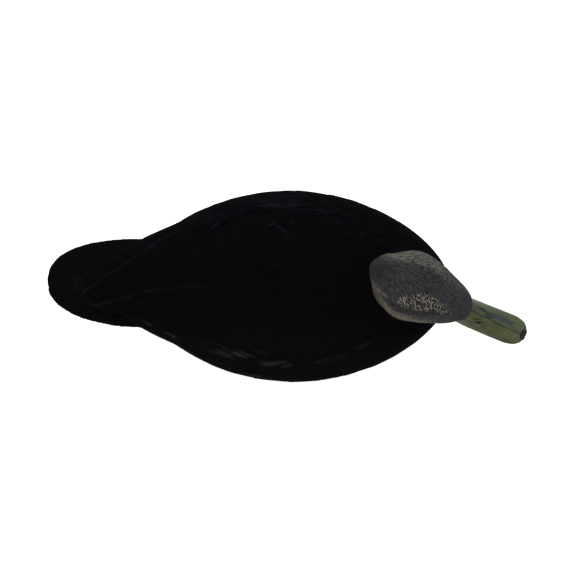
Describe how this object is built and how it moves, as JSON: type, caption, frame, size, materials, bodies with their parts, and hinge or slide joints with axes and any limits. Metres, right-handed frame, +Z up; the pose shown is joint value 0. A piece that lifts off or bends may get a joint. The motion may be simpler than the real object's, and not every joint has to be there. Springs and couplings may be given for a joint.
{
  "type": "floating duck decoy",
  "caption": "Hollow floating duck decoy with a flocked body, a turning painted head on a through-bolt, a weighted keel, a line ring and a drain plug.",
  "frame": {"origin": "centre of the keel's flat bottom, where the decoy stands", "axes": "+X towards the breast, +Y to the duck's left, +Z up"},
  "size_m": [0.4138, 0.17, 0.191],
  "materials": {
    "flock": "short matt flock fibres",
    "head_paint": "matt airbrushed paint",
    "eye": "gloss",
    "nylon": "natural",
    "grey_plastic": "moulded",
    "black_plastic": "moulded",
    "keel_plastic": "moulded, finely grained",
    "seal_rubber": "matt",
    "plug_rubber": "matt",
    "steel": "stainless, plain",
    "brass": "cast, dulled",
    "ballast_iron": "bare"
  },
  "bodies": {
    "body": {"back_shell": "flock", "hull_shell": "flock", "neck_sleeve": "grey_plastic", "neck_bearing_washer": "nylon", "neck_seal": "seal_rubber", "rubber_washer": "seal_rubber", "steel_washer": "steel", "spring_washer": "steel", "keel": "keel_plastic", "keel_gasket": "seal_rubber", "keel_screws": "steel", "ballast_bar": "ballast_iron", "ballast_plug": "black_plastic"},
    "head": {"head_shell": "head_paint", "eye_left": "eye", "eye_right": "eye", "neck_plug": "black_plastic", "neck_bolt": "steel"},
    "wing_nut": {"wing_nut": "brass"},
    "line_ring": {"line_ring": "steel"},
    "drain_plug": {"drain_plug": "plug_rubber", "drain_plug_seal": "seal_rubber"}
  },
  "joints": [
    {"name": "head_turn", "type": "hinge", "parent": "body", "child": "head", "pos_m": [0.098, 0, 0.12], "axis": [0, 0, 1], "range_deg": [-67.5, 112.5]},
    {"name": "wing_nut_spin", "type": "hinge", "parent": "head", "child": "wing_nut", "pos_m": [0.098, 0, 0.024], "axis": [0, 0, 1], "continuous": true},
    {"name": "line_ring_swing", "type": "hinge", "parent": "body", "child": "line_ring", "pos_m": [0.0735, 0, 0.008], "axis": [0, 1, 0], "range_deg": [-35, 115]},
    {"name": "drain_plug_pull", "type": "slide", "parent": "body", "child": "drain_plug", "axis": [0, 0, -1], "range_m": [0, 0.03]}
  ]
}
